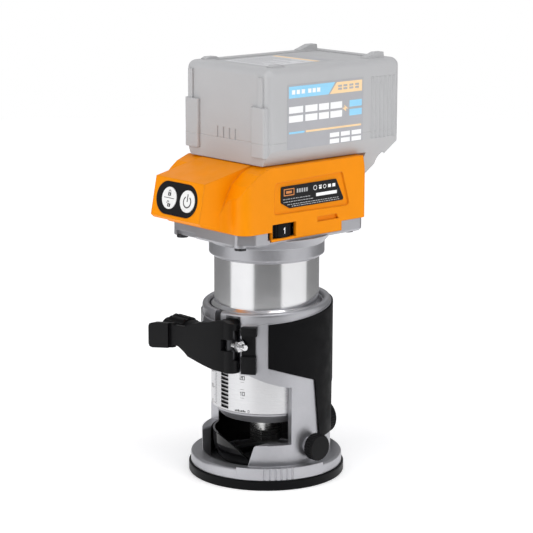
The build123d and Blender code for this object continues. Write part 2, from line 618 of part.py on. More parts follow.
# ---------------------------------------------------------------- orange head housing
def head_form(inset):
    """The housing's outer form, or the cavity when it is inset by the wall."""
    side = HEAD_X - inset
    top = HEAD_TOP - inset
    bottom = HEAD_BOTTOM if inset == 0 else HEAD_BOTTOM - 10
    nose_low = inset * 0.9
    with BuildPart() as form:
        with BuildSketch(Plane.XY.offset(bottom)) as plan:
            with BuildLine():
                Polyline((-side, HEAD_BACK - inset), (side, HEAD_BACK - inset), (side, HEAD_FRONT + inset),
                         (-side, HEAD_FRONT + inset), close=True)
            make_face()
            fillet(plan.vertices().group_by(Axis.Y)[0], 8 - inset)
            fillet(plan.vertices().group_by(Axis.Y)[-1], 4)
        extrude(amount=top - bottom)
        # sloping shoulders and the leaning back
        outline_x(((HEAD_FRONT - 1, bottom - 1), (HEAD_BACK - inset, bottom - 1), (HEAD_BACK - inset, 183),
                   (45 - inset, top), (-31 + inset, top), (-40 + inset, 195.6 - inset), (-48 + inset, 189.5 - inset),
                   (HEAD_FRONT + inset, 182 - inset)), -50, 50, mode=Mode.INTERSECT)
        with BuildSketch(Plane.YZ.offset(-NOSE_X + inset)):
            with BuildLine():
                Polyline((-30, top), (-33, top), (NOSE_BROW[0] + inset, NOSE_BROW[1] - inset),
                         (NOSE_CHIN[0] + inset, NOSE_CHIN[1] + nose_low),
                         (-71.0 + inset, 166.6 + nose_low), (-50, HEAD_BOTTOM + nose_low),
                         (-30, HEAD_BOTTOM + nose_low), close=True)
            make_face()
        extrude(amount=2 * (NOSE_X - inset))
        if inset == 0:
            fillet(form.edges().filter_by(lambda e: abs(abs(e.center().X) - NOSE_X) < 0.2
                                          and -60 < e.center().Y < -48 and e.bounding_box().size.Z > 12), 6)
    return form.part


outer_form = head_form(0)
inner_form = head_form(WALL)

with BuildPart() as head_housing:
    add(outer_form)
    for side in (1, -1):
        block(sorted((side * (HEAD_X - WALL), side * HEAD_X)), TAB_Y, (TAB_BOTTOM, HEAD_BOTTOM + 2))
    add(inner_form, mode=Mode.SUBTRACT)
    # screw bosses
    for at in HEAD_SCREWS:
        ring(5.4, 0, HEAD_BOTTOM, 176, at=at)
        ring(2.0, 0, HEAD_BOTTOM - 1, 172, mode=Mode.SUBTRACT, at=at)
    # battery bay, open to the back
    block((-TONGUE_X - 3, TONGUE_X + 3), (TONGUE_FRONT - 3, HEAD_BACK - 1), (TONGUE_Z[0] - 2.8, HEAD_TOP - 1))
    block((-TONGUE_X - 0.4, TONGUE_X + 0.4), (TONGUE_FRONT - 0.5, 60), (TONGUE_Z[0] - 0.4, TONGUE_Z[1] + 0.3),
          mode=Mode.SUBTRACT)
    block((-NECK_X - 0.4, NECK_X + 0.4), (TONGUE_FRONT - 0.5, 60), (TONGUE_Z[1], HEAD_TOP + 1), mode=Mode.SUBTRACT)
    # rating plate field, window of the speed dial and the vents
    outline_x(((-27.3, 189.4), (27.6, 190.8), (34, 169.6), (-28, 170.5)), HEAD_X - 1.2, HEAD_X + 2,
              mode=Mode.SUBTRACT, soft=2)
    block((HEAD_X - 8, HEAD_X + 2), (-29.3, -10.4), (156, 164.8), mode=Mode.SUBTRACT)
    for side in (1, -1):
        outline_x(((7.2, 162.4), (24.9, 162.4), (23, 165.4), (7.2, 165.4)),
                  *sorted((side * (HEAD_X - 1.6), side * 45)), mode=Mode.SUBTRACT)
    # recess of the control panel and the holes for its buttons
    with BuildSketch(face_plane.offset(1)):
        with Locations((PANEL_X, 0)):
            SlotOverall(38, 20)
    extrude(amount=-1.8, mode=Mode.SUBTRACT)
    with BuildSketch(face_plane.offset(1)):
        with Locations((LOCK_X, 0), (POWER_X, 0)):
            Circle(BUTTON_R + 0.35)
    extrude(amount=-7, mode=Mode.SUBTRACT)
    # opening behind the terminal block
    block((-16, 16), (TONGUE_FRONT - 6, TONGUE_FRONT + 1), (191, 197), mode=Mode.SUBTRACT)
save(head_housing, "head_housing")

# ---------------------------------------------------------------- controls
with BuildPart() as control_panel:
    with BuildSketch(face_plane.offset(-0.8)):
        with Locations((PANEL_X, 0)):
            SlotOverall(37.6, 19.6)
        with Locations((LOCK_X, 0), (POWER_X, 0)):
            Circle(BUTTON_R + 0.3, mode=Mode.SUBTRACT)
    extrude(amount=0.9)
save(control_panel, "control_panel")


def face_disc(x, radius, start, end):
    """Disc on the nose's face; start and end are depths along the face's outward normal."""
    with BuildSketch(face_plane.offset(start)) as profile:
        with Locations((x, 0)):
            Circle(radius)
    extrude(profile.sketch, amount=end - start)


def push_button(x):
    """Round button with a retaining flange and a stem."""
    face_disc(x, BUTTON_R, -3.6, 0.3)
    face_disc(x, BUTTON_R + 0.9, -4.6, -3.5)
    face_disc(x, 2, -6.2, -4.5)


with BuildPart() as lock_button:
    push_button(LOCK_X)
save(lock_button, "lock_button")

with BuildPart() as power_button:
    push_button(POWER_X)
save(power_button, "power_button")

with BuildPart() as switch_board:
    with BuildSketch(face_plane.offset(-11.6)):
        RectangleRounded(36, 18, 2)
    extrude(amount=1.6)
save(switch_board, "switch_board")

with BuildPart() as tact_switches:
    with BuildSketch(face_plane.offset(-10)):
        with Locations((LOCK_X, 0), (POWER_X, 0)):
            Rectangle(6, 6)
    extrude(amount=2.2)
    with BuildSketch(face_plane.offset(-7.8)):
        with Locations((LOCK_X, 0), (POWER_X, 0)):
            Circle(1.7)
    extrude(amount=0.6)
save(tact_switches, "tact_switches")

with BuildPart() as speed_dial:
    ring(DIAL_R, 3.0 + RUN, DIAL_Z[0], DIAL_Z[1], at=DIAL_AT)
    with BuildSketch(Plane.XY.offset(DIAL_Z[0] - 1)):
        with Locations(DIAL_AT):
            with PolarLocations(DIAL_R + 0.25, 36, start_angle=18, angular_range=324):
                Circle(0.55)
    extrude(amount=12, mode=Mode.SUBTRACT)
save(speed_dial, "speed_dial")

with BuildPart() as speed_potentiometer:
    ring(3.0, 0, DIAL_Z[0], 168, at=DIAL_AT)
    block((DIAL_AT[0] - 8, DIAL_AT[0] + 7.5), (DIAL_AT[1] - 8, DIAL_AT[1] + 8), (167, 173))
    block((DIAL_AT[0] - 16, DIAL_AT[0] + 7.5), (DIAL_AT[1] - 10, DIAL_AT[1] + 10), (173, 174.4))
save(speed_potentiometer, "speed_potentiometer")

with BuildPart() as rating_plate:
    outline_x(((-21.9, 186.7), (23, 186.9), (29.9, 173.3), (-15, 173.2), (-21.9, 177)), HEAD_X - 1.2,
              HEAD_X - 0.6, soft=1.2)
save(rating_plate, "rating_plate")

# ---------------------------------------------------------------- electronics in the head
with BuildPart() as controller_board:
    block((-30, 30), (-12, 36), (178, 179.6))
save(controller_board, "controller_board")

with BuildPart() as board_components:
    for x in (-22, -8, 6):
        ring(5, 0, 164, 178, at=(x, 26))
    block((-24, 20), (-6, 8), (173.5, 178))
    block((-12, 12), (10, 18), (175.4, 178))
save(board_components, "board_components")

with BuildPart() as heat_sink:
    block((-24, 24), (-10, 34), (179.6, 181.6))
    for k in range(9):
        block((-22 + 5.2 * k, -20.6 + 5.2 * k), (-10, 34), (181.5, 186.4))
save(heat_sink, "heat_sink")

with BuildPart() as terminal_block:
    block((-15.6, 15.6), (TONGUE_FRONT - 5.6, TONGUE_FRONT - 0.8), (191.2, 196.8))
save(terminal_block, "terminal_block")

with BuildPart() as terminal_blades:
    for x in (-12, -4, 4, 12):
        block((x - 0.4, x + 0.4), (TONGUE_FRONT - 0.8, TONGUE_FRONT + 9), (192.9, 195.5))
save(terminal_blades, "terminal_blades")


# ---------------------------------------------------------------- battery pack
def pack_form(inset):
    """The pack's outer form, or its cavity when it is inset by the wall."""
    side = PACK_X - inset
    front = PACK_FRONT + inset
    back = PACK_BACK - inset
    top = PACK_TOP - inset
    low = PACK_BOTTOM + inset
    with BuildPart() as form:
        outline_x(((front, low), (CHIN_FRONT + inset, low), (CHIN_FRONT + inset, CHIN_BOTTOM + inset),
                   (60, CHIN_BOTTOM + inset), (back, 206), (back, top), (front, top)), -side, side)
        fillet(form.edges().filter_by(Axis.Z).filter_by(lambda e: e.length > 40), 4.4 - inset)
        fillet(form.faces().sort_by(Axis.Z)[-1].edges(), 5 - inset)
        # bevels along the lower side edges
        outline_y(((-side, top + 1), (-side, 208.5), (-side + 5, low), (-TONGUE_X, CHIN_BOTTOM - 1),
                   (TONGUE_X, CHIN_BOTTOM - 1), (side - 5, low), (side, 208.5), (side, top + 1)),
                  100, -60, mode=Mode.INTERSECT)
    return form.part


pack_outer = pack_form(0)
pack_inner = pack_form(2.4)
split_plane = Plane.XY.offset(PACK_SPLIT)
CASE_SCREWS = ((-29, 67.4), (29, 67.4))



def corner_rib(side, low, high):
    """Rounded rib up the front corner of the pack."""
    with BuildSketch(Plane.XY.offset(low)) as profile:
        with Locations((side * 30.3, PACK_FRONT + 0.1)):
            RectangleRounded(12.4, 4.2, 1.4)
    extrude(profile.sketch, amount=high - low)


def flute(side, k, low, high):
    """Cuts the flute number k of the finger grip on one side of the pack."""
    with BuildSketch(Plane.XY.offset(low)) as profile:
        with Locations((side * (PACK_X + 1.2), 52.4 + 3.6 * k)):
            Circle(1.7)
    extrude(profile.sketch, amount=high - low, mode=Mode.SUBTRACT)


with BuildPart() as lower_case:
    add(pack_outer)
    add(pack_inner, mode=Mode.SUBTRACT)
    split(bisect_by=split_plane, keep=Keep.BOTTOM)
    block((-TONGUE_X, TONGUE_X), (TONGUE_FRONT, CHIN_FRONT + 1), TONGUE_Z)
    block((-NECK_X, NECK_X), (TONGUE_FRONT, CHIN_FRONT + 1), (TONGUE_Z[1] - 0.1, PACK_BOTTOM + 1))
    # hollow of the tongue, slots of the contacts
    block((-NECK_X + 2, NECK_X - 2), (TONGUE_FRONT + 3, CHIN_FRONT + 6), (TONGUE_Z[0] + 2, PACK_BOTTOM + 6),
          mode=Mode.SUBTRACT)
    for x in (-12, -4, 4, 12):
        block((x - 0.9, x + 0.9), (TONGUE_FRONT - 1, TONGUE_FRONT + 4), (191.6, 197), mode=Mode.SUBTRACT)
    for side in (1, -1):
        corner_rib(side, 204.7, PACK_SPLIT)
        for k in range(6):
            flute(side, k, 209, PACK_SPLIT)
    for at in CASE_SCREWS:
        ring(4, 0, PACK_BOTTOM + 1, PACK_SPLIT, at=at)
        ring(3.2, 0, PACK_BOTTOM - 20, PACK_BOTTOM + 4, mode=Mode.SUBTRACT, at=at)
        ring(1.7, 0, PACK_BOTTOM, PACK_SPLIT + 1, mode=Mode.SUBTRACT, at=at)
save(lower_case, "lower_case")

with BuildPart() as upper_case:
    add(pack_outer)
    add(pack_inner, mode=Mode.SUBTRACT)
    split(bisect_by=split_plane, keep=Keep.TOP)
    # feet on top, near the corners, and the shallow field between them
    for x in (-30, 30):
        outline_x(((-25, PACK_TOP - 1), (-25, PACK_TOP + 0.4), (-22.6, PACK_TOP + 1.4), (-17, PACK_TOP + 1.4),
                   (-15, PACK_TOP + 0.4), (-15, PACK_TOP - 1)), x - 2.6, x + 2.6)
        outline_x(((52, PACK_TOP - 1), (52, PACK_TOP + 0.4), (61, PACK_TOP + 3.4), (66.6, PACK_TOP + 3.4),
                   (67.4, PACK_TOP - 1)), x - 2.6, x + 2.6)
    block((-26, 25), (-21, 65), (PACK_TOP - 0.7, PACK_TOP + 1), mode=Mode.SUBTRACT)
    # ribs up the front corners, and the flutes of the finger grips
    for side in (1, -1):
        corner_rib(side, PACK_SPLIT, 234.5)
        block(sorted((side * 30, side * 34)), (PACK_FRONT - 1.2, PACK_FRONT + 1), (234, PACK_TOP - 5))
        for k in range(6):
            flute(side, k, PACK_SPLIT, 246.6)
    for k in range(4):
        block((-8 + 5.4 * k, -6.8 + 5.4 * k), (PACK_FRONT - 1, PACK_FRONT + 0.4), (PACK_SPLIT, 219.4),
              mode=Mode.SUBTRACT)
    for at in CASE_SCREWS:
        ring(3.4, 0, PACK_SPLIT, PACK_TOP - 1, at=at)
        ring(1.4, 0, PACK_SPLIT - 1, PACK_SPLIT + 12, mode=Mode.SUBTRACT, at=at)
    # opening of the latch button
    block((-13.4, 13.4), (66, 80), (214.4, 228.4), mode=Mode.SUBTRACT)
save(upper_case, "upper_case")

with BuildPart() as case_screws:
    for at in CASE_SCREWS:
        ring(3.0, 0, PACK_BOTTOM + 1.6, PACK_BOTTOM + 4, at=at)
        ring(1.4, 0, PACK_BOTTOM + 4, PACK_SPLIT + 10, at=at)
save(case_screws, "case_screws")

with BuildPart() as cells:
    with BuildSketch(Plane.YZ.offset(-CELL_LEN / 2)):
        with Locations((16.2, 231.0)):
            with GridLocations(CELL_STEP, CELL_STEP, 5, 2):
                Circle(CELL_R)
    extrude(amount=CELL_LEN)
save(cells, "cells")

with BuildPart() as cell_holder:
    for x in (-34.6, 33.0):
        block((x, x + 1.6), (-27, 59), (213, 246.5))
save(cell_holder, "cell_holder")

with BuildPart() as protection_board:
    block((-26, 26), (-20, 60), (208.4, 210))
    for y in (0, 18, 36):
        block((-12, 12), (y, y + 9), (206, 208.4))
save(protection_board, "protection_board")

with BuildPart() as pack_contacts:
    for x in (-12, -4, 4, 12):
        for side in (-1, 1):
            block(sorted((x + side * 0.5, x + side * 0.85)), (TONGUE_FRONT + 3.4, TONGUE_FRONT + 12), (193.2, 195.8))
            block(sorted((x + side * 0.5, x + side * 0.85)), (TONGUE_FRONT + 8, TONGUE_FRONT + 12), (195.8, 208.4))
save(pack_contacts, "pack_contacts")

with BuildPart() as latch_button:
    block((-13, 13), (71.1, 77.7), (214.8, 228.0))
    chamfer(latch_button.faces().sort_by(Axis.Y)[-1].edges(), 1.2)
    block((-14.5, 14.5), (71.1, 73.7), (213.2, 229.6))
    with BuildSketch(Plane.XZ.offset(-69.1)):
        with Locations((0, 221)):
            Circle(2.4)
    extrude(amount=-3)
save(latch_button, "latch_button")

with BuildPart() as latch_spring:
    with BuildSketch(Plane.XZ.offset(-67.2)):
        with Locations((0, 221)):
            Circle(3.4)
            Circle(2.6, mode=Mode.SUBTRACT)
    extrude(amount=4.4)
save(latch_spring, "latch_spring")
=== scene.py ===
"""Looks of the trim router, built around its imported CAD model. Lengths are in metres unless named MM."""
import math

import bpy
import bmesh
from mathutils import Matrix, Vector


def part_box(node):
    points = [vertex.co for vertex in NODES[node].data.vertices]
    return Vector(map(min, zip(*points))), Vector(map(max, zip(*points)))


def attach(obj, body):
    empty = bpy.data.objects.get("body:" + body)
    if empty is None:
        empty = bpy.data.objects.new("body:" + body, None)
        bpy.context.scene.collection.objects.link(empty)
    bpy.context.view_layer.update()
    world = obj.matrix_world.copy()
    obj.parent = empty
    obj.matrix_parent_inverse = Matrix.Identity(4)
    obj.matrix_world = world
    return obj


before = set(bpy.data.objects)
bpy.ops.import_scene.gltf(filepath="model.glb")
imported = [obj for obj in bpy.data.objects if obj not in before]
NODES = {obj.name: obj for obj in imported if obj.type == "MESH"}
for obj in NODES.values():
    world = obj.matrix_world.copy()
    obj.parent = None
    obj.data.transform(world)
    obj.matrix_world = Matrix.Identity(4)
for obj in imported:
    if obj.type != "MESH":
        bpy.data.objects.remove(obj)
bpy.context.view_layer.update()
SCENE = bpy.context.scene
MM = 0.001

# ---------------------------------------------------------------- node material helpers


def srgb(red, green, blue):
    """Linear colour with alpha from 8 bit sRGB values."""
    linear = []
    for value in (red, green, blue):
        value /= 255
        linear.append(value / 12.92 if value <= 0.04045 else ((value + 0.055) / 1.055) ** 2.4)
    return (*linear, 1.0)


def shade(colour, factor):
    """The colour made lighter or darker."""
    return (*(min(1.0, c * factor) for c in colour[:3]), 1.0)


class Surface:
    """A node material under construction: a Principled shader with object coordinates."""

    def __init__(self, name):
        self.material = bpy.data.materials.new(name)
        self.material.use_nodes = True
        self.tree = self.material.node_tree
        self.bsdf = self.tree.nodes["Principled BSDF"]
        self.place = self.add("ShaderNodeTexCoord").outputs["Object"]

    def add(self, kind, **settings):
        node = self.tree.nodes.new(kind)
        for key, value in settings.items():
            setattr(node, key, value)
        return node

    def link(self, start, end):
        self.tree.links.new(start, end)

    def stretched(self, scale):
        """Object coordinates stretched along each axis."""
        mapping = self.add("ShaderNodeMapping")
        mapping.inputs["Scale"].default_value = scale
        self.link(self.place, mapping.inputs["Vector"])
        return mapping.outputs["Vector"]

    def noise(self, scale, detail=3.0, rough=0.5, vector=None):
        node = self.add("ShaderNodeTexNoise")
        node.inputs["Scale"].default_value = scale
        node.inputs["Detail"].default_value = detail
        node.inputs["Roughness"].default_value = rough
        self.link(vector or self.place, node.inputs["Vector"])
        return node.outputs["Fac"]

    def ramp(self, value, stops):
        """Value mapped through colour stops (position, colour)."""
        node = self.add("ShaderNodeValToRGB")
        elements = node.color_ramp.elements
        while len(elements) < len(stops):
            elements.new(0.5)
        for element, (position, colour) in zip(elements, stops):
            element.position = position
            element.color = colour if len(colour) == 4 else (*colour, 1.0)
        self.link(value, node.inputs["Fac"])
        return node.outputs["Color"]

    def remap(self, value, low, high, start=0.3, end=0.7):
        """Value from start to end mapped to low to high."""
        node = self.add("ShaderNodeMapRange")
        node.inputs["From Min"].default_value = start
        node.inputs["From Max"].default_value = end
        node.inputs["To Min"].default_value = low
        node.inputs["To Max"].default_value = high
        self.link(value, node.inputs["Value"])
        return node.outputs["Result"]

    def maths(self, operation, first, second):
        """Result of a sum on two numbers or sockets."""
        node = self.add("ShaderNodeMath", operation=operation)
        for socket, value in zip(node.inputs, (first, second)):
            if isinstance(value, (int, float)):
                socket.default_value = value
            else:
                self.link(value, socket)
        return node.outputs[0]

    def mix(self, factor, first, second):
        """Colour mix; first and second are colours or sockets."""
        node = self.add("ShaderNodeMix", data_type="RGBA")
        self.link(factor, node.inputs["Factor"])
        for socket, value in ((node.inputs[6], first), (node.inputs[7], second)):
            if isinstance(value, tuple):
                socket.default_value = value
            else:
                self.link(value, socket)
        return node.outputs[2]

    def relief(self, layers, soft_edge=0.0):
        """Bumps laid over each other, on edges that are optically rounded by soft_edge."""
        normal = None
        if soft_edge:
            bevel = self.add("ShaderNodeBevel", samples=6)
            bevel.inputs["Radius"].default_value = soft_edge
            normal = bevel.outputs["Normal"]
        for height, strength, depth in layers:
            bump = self.add("ShaderNodeBump")
            bump.inputs["Strength"].default_value = strength
            bump.inputs["Distance"].default_value = depth
            self.link(height, bump.inputs["Height"])
            if normal:
                self.link(normal, bump.inputs["Normal"])
            normal = bump.outputs["Normal"]
        if normal:
            self.link(normal, self.bsdf.inputs["Normal"])

    def worn_edges(self, radius, colour, base):
        """Base colour with a lighter tone where an edge is bent, broken up by noise."""
        bevel = self.add("ShaderNodeBevel", samples=6)
        bevel.inputs["Radius"].default_value = radius
        flat = self.add("ShaderNodeNewGeometry")
        dot = self.add("ShaderNodeVectorMath", operation="DOT_PRODUCT")
        self.link(bevel.outputs["Normal"], dot.inputs[0])
        self.link(flat.outputs["Normal"], dot.inputs[1])
        bend = self.remap(dot.outputs["Value"], 1.0, 0.0, 0.80, 0.985)
        patch = self.remap(self.noise(260.0, 4.0), 0.1, 1.0, 0.35, 0.65)
        return self.mix(self.maths("MULTIPLY", bend, patch), base, colour)

    def axes(self):
        """The three object coordinates."""
        parts = self.add("ShaderNodeSeparateXYZ")
        self.link(self.place, parts.inputs["Vector"])
        return parts.outputs["X"], parts.outputs["Y"], parts.outputs["Z"]

    def reach(self, x, y):
        """Distance from the upright axis."""
        squares = self.maths("ADD", self.maths("MULTIPLY", x, x), self.maths("MULTIPLY", y, y))
        return self.maths("SQRT", squares, 0.0)

    def values(self, **values):
        for name, value in values.items():
            self.bsdf.inputs[name.replace("_", " ")].default_value = value


def plastic(name, colour, rough, grain=0.12, grain_scale=2600.0, edge=0.0004, spread=0.05, wear=0.10,
            specular=0.5, coat=0.0):
    """Moulded plastic: slight colour drift, a fine spark-eroded grain, lighter rubbed edges."""
    s = Surface(name)
    drift = s.noise(38.0, 4.0, 0.6)
    tone = s.ramp(drift, ((0.30, shade(colour, 1 - spread)), (0.70, shade(colour, 1 + spread))))
    if wear:
        light = tuple(c + (1 - c) * wear for c in colour[:3]) + (1.0,)
        tone = s.worn_edges(edge, light, tone)
    s.link(tone, s.bsdf.inputs["Base Color"])
    s.link(s.remap(s.noise(120.0, 4.0), rough * 0.86, rough * 1.16), s.bsdf.inputs["Roughness"])
    s.relief(((s.noise(grain_scale, 2.0), grain, 0.00006), (s.noise(55.0, 2.0), 0.05, 0.0006)), edge)
    s.values(Specular_IOR_Level=specular, Coat_Weight=coat)
    return s.material


BORE_FADE = 0.0002              # width of the change from the painted shade to the paint's colour, in metres
BORE_FLOOR = (0.0084, 0.0090)   # the painted shade starts above the sole
BORE_RIM = (0.098, 0.101)       # and ends below the rim


def cast_paint(name, colour, rough, metal, grain=0.34, edge=0.0006, bore=0.0):
    """Silver paint on a casting: metallic flakes, orange peel and the pits of the casting.

    With a bore radius, what lies within it between BORE_FLOOR and BORE_RIM is coloured nearly black: painted
    shade inside the bore."""
    s = Surface(name)
    flake = s.noise(5200.0, 2.0)
    cloud = s.noise(42.0, 5.0, 0.6)
    tone = s.ramp(cloud, ((0.30, shade(colour, 0.93)), (0.72, shade(colour, 1.07))))
    tone = s.mix(s.remap(flake, 0.0, 0.22), tone, shade(colour, 1.5))
    tone = s.worn_edges(edge, shade(colour, 1.45), tone)
    if bore:
        # Painted shade: the wall within the bore radius, from above the sole to below the rim, is coloured
        # nearly black.
        x, y, z = s.axes()
        within = s.remap(s.reach(x, y), 1.0, 0.0, bore, bore + BORE_FADE)
        above_floor = s.remap(z, 0.0, 1.0, *BORE_FLOOR)
        below_rim = s.remap(z, 1.0, 0.0, *BORE_RIM)
        painted_bore_shade = s.maths("MULTIPLY", within, s.maths("MULTIPLY", above_floor, below_rim))
        tone = s.mix(painted_bore_shade, tone, shade(colour, 0.05))
    s.link(tone, s.bsdf.inputs["Base Color"])
    s.link(s.remap(s.noise(900.0, 3.0), rough * 0.85, rough * 1.2), s.bsdf.inputs["Roughness"])
    s.relief(((s.noise(1500.0, 3.0), grain, 0.00010), (s.noise(210.0, 3.0), 0.30, 0.00035)), edge)
    s.values(Metallic=metal)
    return s.material


def turned_metal(name, colour, rough, lines=0.10, scale=(40.0, 40.0, 9000.0), edge=0.0003, drift=0.05):
    """Bare metal with fine lathe or brush lines across the stretched axis."""
    s = Surface(name)
    line = s.noise(1.0, 4.0, 0.62, s.stretched(scale))
    smear = s.noise(28.0, 4.0, 0.6)
    tone = s.ramp(smear, ((0.30, shade(colour, 1 - drift)), (0.70, shade(colour, 1 + drift))))
    tone = s.mix(s.remap(line, 0.0, 0.35), tone, shade(colour, 0.80))
    s.link(tone, s.bsdf.inputs["Base Color"])
    s.link(s.maths("ADD", s.remap(line, rough * 0.85, rough * 1.15),
                   s.remap(smear, 0.0, rough * 0.25)), s.bsdf.inputs["Roughness"])
    s.relief(((line, lines, 0.00003),), edge)
    s.values(Metallic=1.0)
    return s.material


# ---------------------------------------------------------------- materials
ORANGE = srgb(239, 142, 0)
CAST_GREY = srgb(168, 168, 172)
PACK_GREY = srgb(180, 180, 181)

paint = cast_paint("cast_paint", CAST_GREY, 0.34, 0.85)
# the base casting's paint, with painted shade inside its bore
base_paint_and_bore_shade = cast_paint("base_paint_and_bore_shade", CAST_GREY, 0.34, 0.85, bore=0.03475)
orange = plastic("orange_housing", ORANGE, 0.42, grain=0.16, edge=0.0011, wear=0.02, spread=0.035,
                 specular=0.08)
black_plastic = plastic("black_plastic", srgb(9, 9, 11), 0.46, grain=0.20, edge=0.0004, wear=0.01,
                        specular=0.14)
lever_plastic = plastic("lever_plastic", srgb(6, 6, 8), 0.38, grain=0.24, edge=0.0006, wear=0.005,
                        specular=0.16)
rubber = plastic("grip_rubber", srgb(7, 7, 9), 0.58, grain=0.40, grain_scale=1900.0, edge=0.0005,
                 wear=0.003, spread=0.09, specular=0.09)
sole_plastic = plastic("sole_plastic", srgb(6, 6, 8), 0.40, grain=0.16, edge=0.0005, wear=0.005,
                       specular=0.10)
gloss_black = plastic("deflector_plastic", srgb(9, 9, 10), 0.13, grain=0.02, edge=0.0004, wear=0.01,
                      specular=0.35)
panel_film = plastic("panel_film", srgb(14, 14, 16), 0.36, grain=0.10, edge=0.0003, wear=0.02, specular=0.25)
white_film = plastic("button_film", srgb(236, 236, 234), 0.40, grain=0.08, edge=0.0003, wear=0.0)
pack_plastic = plastic("pack_plastic", PACK_GREY, 0.48, grain=0.22, edge=0.0008, wear=0.12, spread=0.02)
pack_dark = plastic("pack_label_film", srgb(172, 172, 176), 0.40, grain=0.30, grain_scale=900.0,
                    edge=0.0002, wear=0.0)
steel = turned_metal("turned_steel", (0.62, 0.62, 0.61, 1.0), 0.24)
bolt_steel = turned_metal("bolt_steel", (0.72, 0.72, 0.73, 1.0), 0.22, scale=(9000.0, 60.0, 60.0))
dark_steel = turned_metal("black_oxide", (0.060, 0.060, 0.064, 1.0), 0.36, drift=0.15)
copper = turned_metal("copper", (0.80, 0.42, 0.24, 1.0), 0.32)
magnet = turned_metal("magnet", (0.22, 0.22, 0.23, 1.0), 0.40)
laminate = turned_metal("laminated_steel", (0.30, 0.30, 0.31, 1.0), 0.42, lines=0.5,
                        scale=(20.0, 20.0, 2400.0))
board_green = plastic("circuit_board", srgb(28, 92, 56), 0.40, grain=0.5, grain_scale=700.0, wear=0.0)
cell_wrap = plastic("cell_wrap", srgb(70, 150, 168), 0.34, grain=0.05, wear=0.0)
blue_print = plastic("print_blue", srgb(150, 214, 246), 0.40, grain=0.08, edge=0.0001, wear=0.0)
peach_print = plastic("print_peach", srgb(252, 216, 166), 0.40, grain=0.08, edge=0.0001, wear=0.0)
white_print = plastic("print_white", srgb(248, 248, 248), 0.42, grain=0.08, edge=0.0001, wear=0.0)
grey_print = plastic("print_grey", srgb(176, 176, 178), 0.42, grain=0.10, edge=0.0001, wear=0.0)
orange_print = plastic("print_orange", srgb(214, 132, 60), 0.42, grain=0.10, edge=0.0001, wear=0.0)
top_film = plastic("top_film", srgb(214, 214, 216), 0.40, grain=0.10, edge=0.0002, wear=0.0)
dark_print = plastic("print_dark", srgb(24, 24, 26), 0.44, grain=0.10, edge=0.0001, wear=0.0)


BARREL_STEP = (0.1068, 0.1088)  # satin changes to polish over the step's cone, in metres
GAP_TOP = (0.1066, 0.1070)      # the rack's gaps end at the step
GAP_REACH = (0.0337, 0.0342)    # they lie under the barrel's skin
GAP_FRONT = (-0.0333, -0.0323)  # on its front
GAP_HALF = (0.0034, 0.0036)     # across half the rack's width


def barrel_surface():
    """Aluminium barrel: polished above the step, satin turned below it, with painted shade, nearly black, in
    the rack's gaps.
    """
    s = Surface("barrel_metal_and_gap_shade")
    line = s.noise(1.0, 4.0, 0.62, s.stretched((40.0, 40.0, 9000.0)))
    smear = s.noise(26.0, 4.0, 0.6)
    x, y, z = s.axes()
    upper = s.remap(z, 0.0, 1.0, *BARREL_STEP)
    tone = s.ramp(smear, ((0.30, (0.80, 0.80, 0.81)), (0.70, (0.87, 0.87, 0.88))))
    tone = s.mix(s.remap(line, 0.0, 0.30), tone, (0.68, 0.68, 0.69, 1.0))
    satin_tone = s.ramp(line, ((0.30, (0.56, 0.56, 0.57)), (0.70, (0.66, 0.66, 0.67))))
    tone = s.mix(upper, satin_tone, tone)
    # Painted shade: the rack's gaps on the barrel's front, under its skin and below the step, are coloured
    # nearly black.
    inside = s.remap(s.reach(x, y), 1.0, 0.0, *GAP_REACH)
    front = s.remap(y, 1.0, 0.0, *GAP_FRONT)
    near = s.remap(s.maths("ABSOLUTE", x, 0.0), 1.0, 0.0, *GAP_HALF)
    low = s.remap(z, 1.0, 0.0, *GAP_TOP)
    painted_gap_shade = s.maths("MULTIPLY", s.maths("MULTIPLY", inside, front), s.maths("MULTIPLY", near, low))
    tone = s.mix(painted_gap_shade, tone, (0.012, 0.012, 0.013, 1.0))
    s.link(tone, s.bsdf.inputs["Base Color"])
    satin = s.remap(line, 0.24, 0.33)
    polish = s.remap(line, 0.12, 0.18)
    rough = s.maths("ADD", s.maths("MULTIPLY", upper, polish),
                    s.maths("MULTIPLY", s.maths("SUBTRACT", 1.0, upper), satin))
    s.link(s.maths("ADD", rough, s.remap(smear, 0.0, 0.03)), s.bsdf.inputs["Roughness"])
    s.relief(((line, 0.10, 0.00003),), 0.0003)
    s.values(Metallic=1.0)
    return s.material


barrel_metal_and_gap_shade = barrel_surface()

